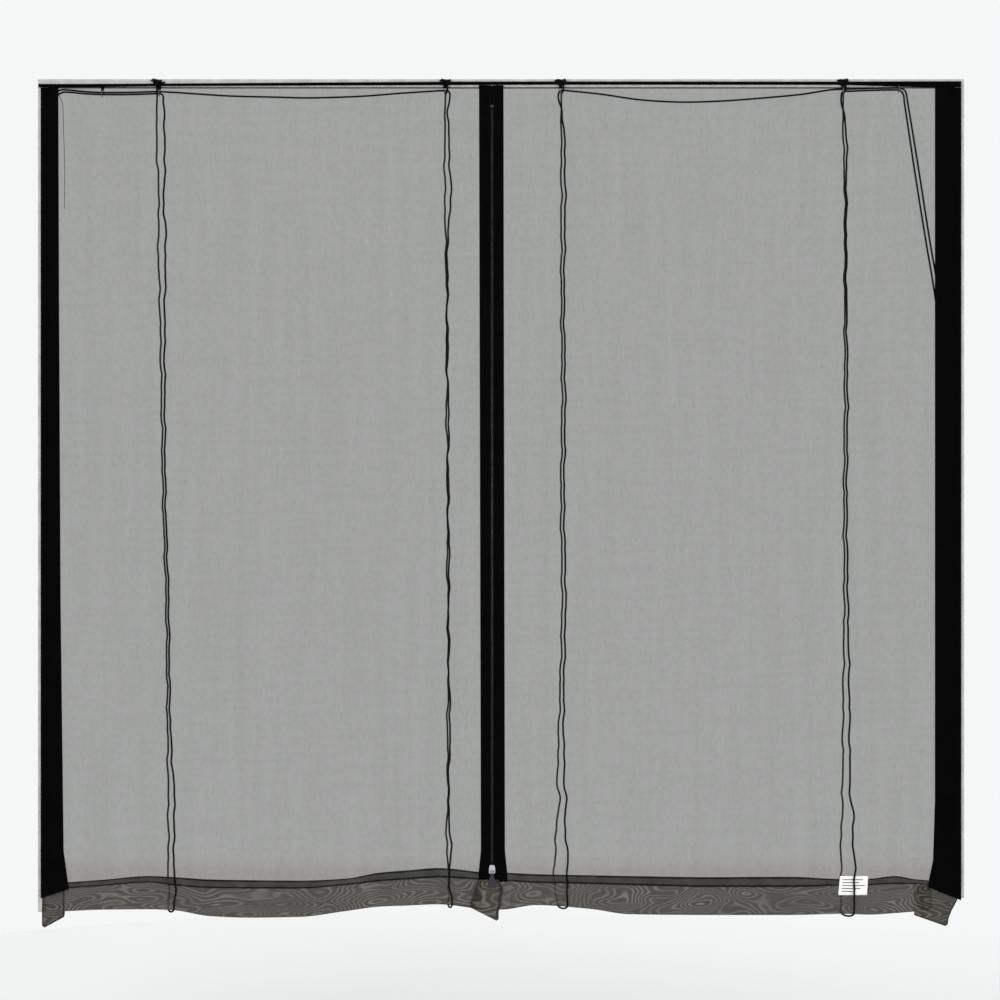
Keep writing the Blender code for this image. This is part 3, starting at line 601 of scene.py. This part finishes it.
def make_hem(side, m):
    body = f"{side}_hem"
    band_xs, tops, feet = profile(f"{side}_hem_band")
    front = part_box(f"{side}_hem_band")[0].y

    def band_place(u, v):
        inside = band_xs[0] + (band_xs[-1] - band_xs[0]) * u
        top, foot = eased(inside, band_xs, tops), eased(inside, band_xs, feet)
        x = inside + END_LAP * (2 * u - 1) ** 15
        ridge = 0.0005 * math.sin(math.pi * v) + 0.0002 * math.sin(900 * x)
        return (x, front + 0.0004 - ridge, top + (foot - BAND_LAP - top) * v)

    band = grid(f"{side}_hem_band_cloth", 400, 8, band_place, m["band"],
                uv=lambda u, v: ((band_xs[-1] - band_xs[0]) * u, v), thickness=0.001)
    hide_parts(f"{side}_hem_band")
    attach(band, body)

    pocket_xs, tops_p, feet_p = profile(f"{side}_hem_pocket")
    low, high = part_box(f"{side}_hem_pocket")
    middle, half = (low.y + high.y) / 2, (high.y - low.y) / 2
    around = 14

    def pocket_place(u, v):
        inside = pocket_xs[0] + (pocket_xs[-1] - pocket_xs[0]) * u
        top, foot = eased(inside, pocket_xs, tops_p) + 0.001, eased(inside, pocket_xs, feet_p)
        x = inside + END_LAP * (2 * u - 1) ** 15
        angle = 2 * math.pi * v
        share = (1 - math.cos(angle)) / 2
        bulge = math.sin(math.pi * min(1.0, share * 1.02)) ** 0.6 * (0.75 + 0.25 * math.sin(17 * x))
        pucker = 0.0004 * math.sin(230 * x) * (1 - share)
        side_y = math.copysign(half, math.sin(angle)) * bulge * abs(math.sin(angle)) ** 0.5
        return (x, middle - side_y + pucker, top + (foot - top) * share)

    pocket = grid(f"{side}_hem_pocket_cloth", 260, around, pocket_place, m["pocket"])
    weld = bmesh.new()
    weld.from_mesh(pocket.data)
    bmesh.ops.remove_doubles(weld, verts=weld.verts, dist=1e-5)
    weld.to_mesh(pocket.data)
    weld.free()
    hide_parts(f"{side}_hem_pocket")
    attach(pocket, body)


FLAP_SEAMS = {  # each flap's body, the width of its folded edges, and the runs of those as (x, z)
    "left_corner_flap": (
        "left_hem", 0.0030,
        [(-1.2065, -2.135), (-1.2065, -2.214), (-1.202, -2.2205), (-1.157, -2.197)],
        [(-1.1525, -2.117), (-1.1525, -2.192)]),
    "right_corner_flap": (
        "right_hem", 0.0022,
        [(1.092, -2.190), (1.1690, -2.2165)],
        [(1.1985, -2.152), (1.1835, -2.181), (1.1740, -2.213)]),
    "centre_flap": (
        "right_hem", 0.0050,
        [(-0.0105, -2.100), (0.0020, -2.121), (-0.0092, -2.182), (-0.0105, -2.198)],
        [(-0.0595, -2.100), (-0.0800, -2.168)]),
}


def make_flaps(m):
    """The loose flaps, each with its doubled fold lines laid on as darker strips."""
    for node, (body, width, *runs) in FLAP_SEAMS.items():
        obj = stand_in(node, m["flap"], bevel=0.0003)
        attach(obj, body)
        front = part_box(node)[0].y - 0.00025
        for number, run in enumerate(runs, 1):
            line = smooth_route([(x, front, z) for x, z in run], 8)

            def place(u, v, line=line):
                i = min(int(u * (len(line) - 1) + 0.5), len(line) - 1)
                ahead = (line[min(i + 1, len(line) - 1)] - line[max(i - 1, 0)]).normalized()
                return line[i] + Vector((-ahead.z, 0, ahead.x)) * width * (v - 0.5)

            seam = grid(f"{node}_fold_{number}", len(line) - 1, 2, place, m["seam"],
                        uv=lambda u, v: (u * 0.1, v), thickness=0.0003)
            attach(seam, body)
    dress("right_corner_weight", m["webbing_z"], bevel=0.0004)


def make_label(m):
    """The care label, with five plain bars for its printing."""
    low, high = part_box("care_label")

    def place(u, v):
        left = 0.893 + (0.888 - 0.893) * v
        right = 0.967 + (0.964 - 0.967) * v
        x = left + (right - left) * u
        y = low.y + 0.0004 - 0.0006 * math.sin(math.pi * u) * (0.4 + 0.6 * v)
        return (x, y, high.z + (low.z - high.z) * v)

    label = grid("care_label_cloth", 16, 12, place, m["label"], thickness=0.0004)
    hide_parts("care_label")
    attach(label, "right_hem")
    verts, faces = [], []
    for row, width in enumerate((0.72, 0.60, 0.80, 0.66, 0.40)):
        top = 0.16 + row * 0.155
        for i in range(17):
            u = 0.10 + width * i / 16
            for v in (top, top + 0.055):
                x, y, z = place(u, v)
                verts.append((x, y - 0.00035, z))
        start = row * 34
        for i in range(16):
            a = start + 2 * i
            faces.append((a, a + 1, a + 3, a + 2))
    bars = link_mesh("care_label_print", verts, faces, m["print"])
    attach(bars, "right_hem")


def make_webbing(m):
    dress("header_webbing", m["webbing_x"], bevel=0.0005)
    dress("header_loop_tape", m["loop"])
    for node in ("header_hook_tape", "left_jamb_hook_tape", "right_jamb_hook_tape"):
        dress(node, m["hook"])
    for number in range(1, 7):
        dress(f"ring_hanger_{number}", m["webbing_z"], bevel=0.0002)
    for side in ("left", "right"):
        for part, material in (("side_webbing", "webbing_z"), ("zip_webbing", "webbing_z"),
                               ("zip_tape", "tape"), ("loop_tape", "tape")):
            node = f"{side}_{part}"
            obj = stand_in(node, m[material])
            gather(obj)


def make_coils(m):
    """Nylon teeth along both halves of the zip, meshed above the slider and apart below it."""
    pitch, half_tooth, reach_over = 0.0026, 0.00062, 0.0010
    parting_z, parted = -2.066, 0.0024
    for side, sign in (("left", -1), ("right", 1)):
        node = f"{side}_zip_coil"
        low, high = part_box(node)
        middle_y, depth = (low.y + high.y) / 2, (high.y - low.y) / 2
        verts, faces = [], []

        def apart(z):
            return parted * min(1.0, max(0.0, (parting_z - z) / 0.009))

        def ring(x, z, half_y, half_z):
            for k in range(6):
                angle = 2 * math.pi * k / 6
                verts.append((x, middle_y + half_y * math.cos(angle), z + half_z * math.sin(angle)))

        for i in range(int((high.z - low.z) / pitch)):
            z = high.z - (i + (0.25 if sign < 0 else 0.75)) * pitch
            start = len(verts)
            for x, size in ((-reach_over, 0.5), (-reach_over + 0.0006, 1.0), (0.0034, 0.8)):
                ring(ZIP_X + sign * (x + apart(z)), z, depth * size,
                     half_tooth * (0.8 + 0.2 * size))
            for step in range(2):
                for k in range(6):
                    a, b = start + step * 6 + k, start + step * 6 + (k + 1) % 6
                    faces.append((a, b, b + 6, a + 6))
            faces.append(tuple(start + k for k in reversed(range(6))))
            faces.append(tuple(start + 12 + k for k in range(6)))
        core_start = len(verts)
        core_zs = [high.z, parting_z, parting_z - 0.0045, parting_z - 0.009, low.z]
        for z in core_zs:
            for x, y in ((0.0003, -0.55), (0.0042, -0.55), (0.0042, 0.9), (0.0003, 0.9)):
                verts.append((ZIP_X + sign * (x + apart(z)), middle_y + depth * y, z))
        for step in range(len(core_zs) - 1):
            for k in range(4):
                a, b = core_start + step * 4 + k, core_start + step * 4 + (k + 1) % 4
                faces.append((a, b, b + 4, a + 4))
        faces.append(tuple(core_start + k for k in range(4)))
        faces.append(tuple(len(verts) - 4 + k for k in range(4)))
        coil = link_mesh(f"{side}_zip_teeth", verts, faces, m["coil"], smooth=False)
        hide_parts(node)
        gather(coil)


def make_zip_patch(m):
    """The stitched-over tape ends above the zip's top stop, which close the tapes' gap."""
    top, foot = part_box("left_zip_tape")[1].z - 0.001, PATCH_FOOT

    def place(u, v):
        x = ZIP_X + 0.0105 * (2 * u - 1)
        return (x, PATCH_Y + 0.0002 * math.cos(math.pi * u), top + (foot - top) * v)

    patch = grid("zip_head_patch", 12, 20, place, m["tape"], thickness=0.0006)
    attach(patch, "header")


def make_metal(m):
    for number in range(1, 7):
        dress(f"guide_ring_{number}", m["ring"], subdivision=2)
    dress("zip_slider", m["slider"], bevel=0.0003)
    for node in ("front_pull", "back_pull", "zip_top_stop", "zip_bottom_stop"):
        dress(node, m["pull"], bevel=0.0003)


# ------------------------------------------------------------------ cords
def loop_route(loop, steps):
    back_x, front_x, foot = loop["hem"]
    way, ring_x, turn_z = loop["turn"]
    middle = foot + TURN_LIFT
    route = [Vector((x, FREE_BACK_Y, z)) for x, z in loop["back"]]
    below = []
    for i in range(9):
        angle = math.pi * i / 8
        below.append(Vector((back_x + (front_x - back_x) * (1 - math.cos(angle)) / 2,
                             HEM_MIDDLE_Y + TURN_RADIUS * math.cos(angle),
                             middle - TURN_RADIUS * math.sin(angle))))
    rise = [Vector((x, FREE_FRONT_Y, z)) for x, z in loop["front"]]
    start_x = ring_x - way * (0.0065 if way > 0 else 0.0125)
    into_ring = [Vector((start_x, RING_CORD_Y, turn_z - TURN_SIZE - 0.012))]
    for i in range(4):
        angle = math.pi / 2 * i / 3
        into_ring.append(Vector((start_x + way * TURN_SIZE * (1 - math.cos(angle)), RING_CORD_Y,
                                 turn_z - TURN_SIZE + TURN_SIZE * math.sin(angle))))
    end = Vector((ring_x + way * LOOP_RUN_ON, RING_CORD_Y, turn_z))
    return [*smooth_route([*route, below[0]], steps), *smooth_route(below[1:-1], 2),
            *smooth_route([below[-1], *rise, *into_ring, end], steps)]


def make_tail_knot(number, end, m):
    """A flat stopper knot on the end of a lead, small enough for the space behind the webbing."""
    route = []
    for i in range(KNOT_TURNS * 14 + 1):
        share = i / (KNOT_TURNS * 14)
        angle = 2 * math.pi * KNOT_TURNS * share
        route.append(end + Vector((KNOT_REACH * math.cos(angle), 0.0013 * math.sin(angle),
                                   KNOT_HEIGHT * (0.85 - share))))
    knot = tube(f"lead_cord_{number}_knot", route, 0.0026, m["cord"], sides=8)
    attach(knot, "header")
    return knot


def make_cords(m):
    for number, loop in LOOPS.items():
        route = limp(loop_route(loop, LOOP_STEPS), KINK_EASE, number)
        cord = tube(f"lift_loop_{number}_cord", route, CORD, m["cord"])
        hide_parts(f"lift_loop_{number}")
        gather(cord)
        way, ring_x, turn_z = loop["turn"]
        start = (ring_x + way * LOOP_RUN_ON, RING_CORD_Y, turn_z)
        route = smooth_route([start, *LEADS[number]], 6)
        lead = tube(f"lead_cord_{number}_cord", route, CORD, m["cord"])
        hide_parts(f"lead_cord_{number}")
        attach(lead, "header")
        knot = make_tail_knot(number, route[-1], m)


def make_ties(m):
    """Each lift cord's knot on the header: three tight wraps with one turn locked across them."""
    for number in range(1, 5):
        node = f"header_tie_{number}"
        low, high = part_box(node)
        middle = (low + high) / 2
        turns, wrap_pitch = 5, 0.0052
        route = []
        for i in range(turns * 14 + 1):
            share = i / (turns * 14)
            angle = 2 * math.pi * turns * share
            sway = 0.0016 * math.sin(5.0 * share + number)
            route.append(Vector((middle.x + (share - 0.5) * turns * wrap_pitch,
                                 middle.y - 0.0004 + 0.0018 * math.cos(angle),
                                 middle.z + sway + 0.0058 * math.sin(angle))))
        wraps = tube(f"{node}_wraps", route, CORD * 0.85, m["cord"], sides=8)
        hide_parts(node)
        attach(wraps, "header")
        tail = [Vector((middle.x - 0.017, middle.y + 0.001, middle.z + 0.003)),
                Vector((middle.x - 0.008, middle.y - 0.0035, middle.z + 0.005)),
                Vector((middle.x + 0.004, middle.y - 0.0045, middle.z + 0.001)),
                Vector((middle.x + 0.014, middle.y - 0.003, middle.z - 0.003)),
                Vector((middle.x + 0.020, middle.y - 0.0005, middle.z - 0.001))]
        lock = tube(f"{node}_lock", smooth_route(tail, 8), CORD * 0.85, m["cord"], sides=8)
        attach(lock, "header")


def make_links(m):
    """The short stretch from each tie down in front of the webbing and through the mesh."""
    for number, loop in LOOPS.items():
        start_x, start_z = loop["back"][0]
        drop_x = start_x if number == 1 else loop["turn"][1] + LINK_CLEAR
        drop = [Vector((drop_x, -0.0088, -0.0040)), Vector((drop_x, -0.0090, -0.0120)),
                Vector((drop_x, -0.0050, -0.0172)), Vector((drop_x - 0.001, 0.0008, -0.0205)),
                Vector((start_x, FREE_BACK_Y, start_z - 0.0080))]
        link = tube(f"tie_link_{number}", smooth_route(drop, 6), CORD, m["cord"])
        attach(link, "header")


# ------------------------------------------------------------------ stage
def make_stage():
    scene = bpy.context.scene
    scene.view_settings.view_transform = "Standard"
    scene.view_settings.look = "None"
    world = bpy.data.worlds.new("studio")
    scene.world = world
    world.use_nodes = True
    world.node_tree.nodes["Background"].inputs[0].default_value = (0.915, 0.93, 0.925, 1.0)
    world.node_tree.nodes["Background"].inputs[1].default_value = 1.0

    floor_material = Nodes("studio_floor", (0.80, 0.81, 0.805), 0.9, specular=0.0).material
    bm = bmesh.new()
    bmesh.ops.create_circle(bm, cap_ends=True, segments=96, radius=3.0)
    bmesh.ops.translate(bm, verts=bm.verts, vec=(0, 0, FLOOR_Z))
    mesh = bpy.data.meshes.new("studio_floor")
    bm.to_mesh(mesh)
    bm.free()
    mesh.materials.append(floor_material)
    floor = bpy.data.objects.new("studio_floor", mesh)
    scene.collection.objects.link(floor)

    for name, place, size, power in (("key_light", (-2.5, -5.0, 2.0), 3.0, 130.0),
                                     ("fill_light", (3.0, -4.5, -0.3), 3.0, 60.0),
                                     ("rim_light", (1.5, 4.5, 1.5), 3.0, 60.0)):
        light = bpy.data.lights.new(name, "AREA")
        light.size = size
        light.energy = power
        lamp = bpy.data.objects.new(name, light)
        lamp.location = place
        lamp.rotation_mode = "QUATERNION"
        lamp.rotation_quaternion = (Vector((0, 0, -1.1)) - Vector(place)).to_track_quat("-Z", "Y")
        scene.collection.objects.link(lamp)

    camera = bpy.data.cameras.new("camera")
    camera.lens = LENS
    camera.sensor_width = SENSOR
    camera.clip_end = 100
    holder = bpy.data.objects.new("camera", camera)
    distance = PICTURE_WIDTH * LENS / SENSOR
    holder.location = (VIEW_CENTRE[0], -distance, VIEW_CENTRE[1])
    holder.rotation_euler = (math.radians(90), 0, 0)
    scene.collection.objects.link(holder)
    scene.camera = holder


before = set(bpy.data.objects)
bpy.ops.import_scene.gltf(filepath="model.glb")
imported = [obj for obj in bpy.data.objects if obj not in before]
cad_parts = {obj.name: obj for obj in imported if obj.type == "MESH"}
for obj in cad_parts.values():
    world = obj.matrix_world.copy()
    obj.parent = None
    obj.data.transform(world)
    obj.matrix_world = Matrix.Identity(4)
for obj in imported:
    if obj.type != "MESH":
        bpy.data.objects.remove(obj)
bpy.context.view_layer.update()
materials = make_materials()
for half in ("left", "right"):
    make_panel(half, materials)
    make_hem(half, materials)
make_edge_thread(materials)
make_flaps(materials)
make_label(materials)
make_webbing(materials)
make_coils(materials)
make_zip_patch(materials)
make_metal(materials)
make_cords(materials)
make_ties(materials)
make_links(materials)
make_stage()
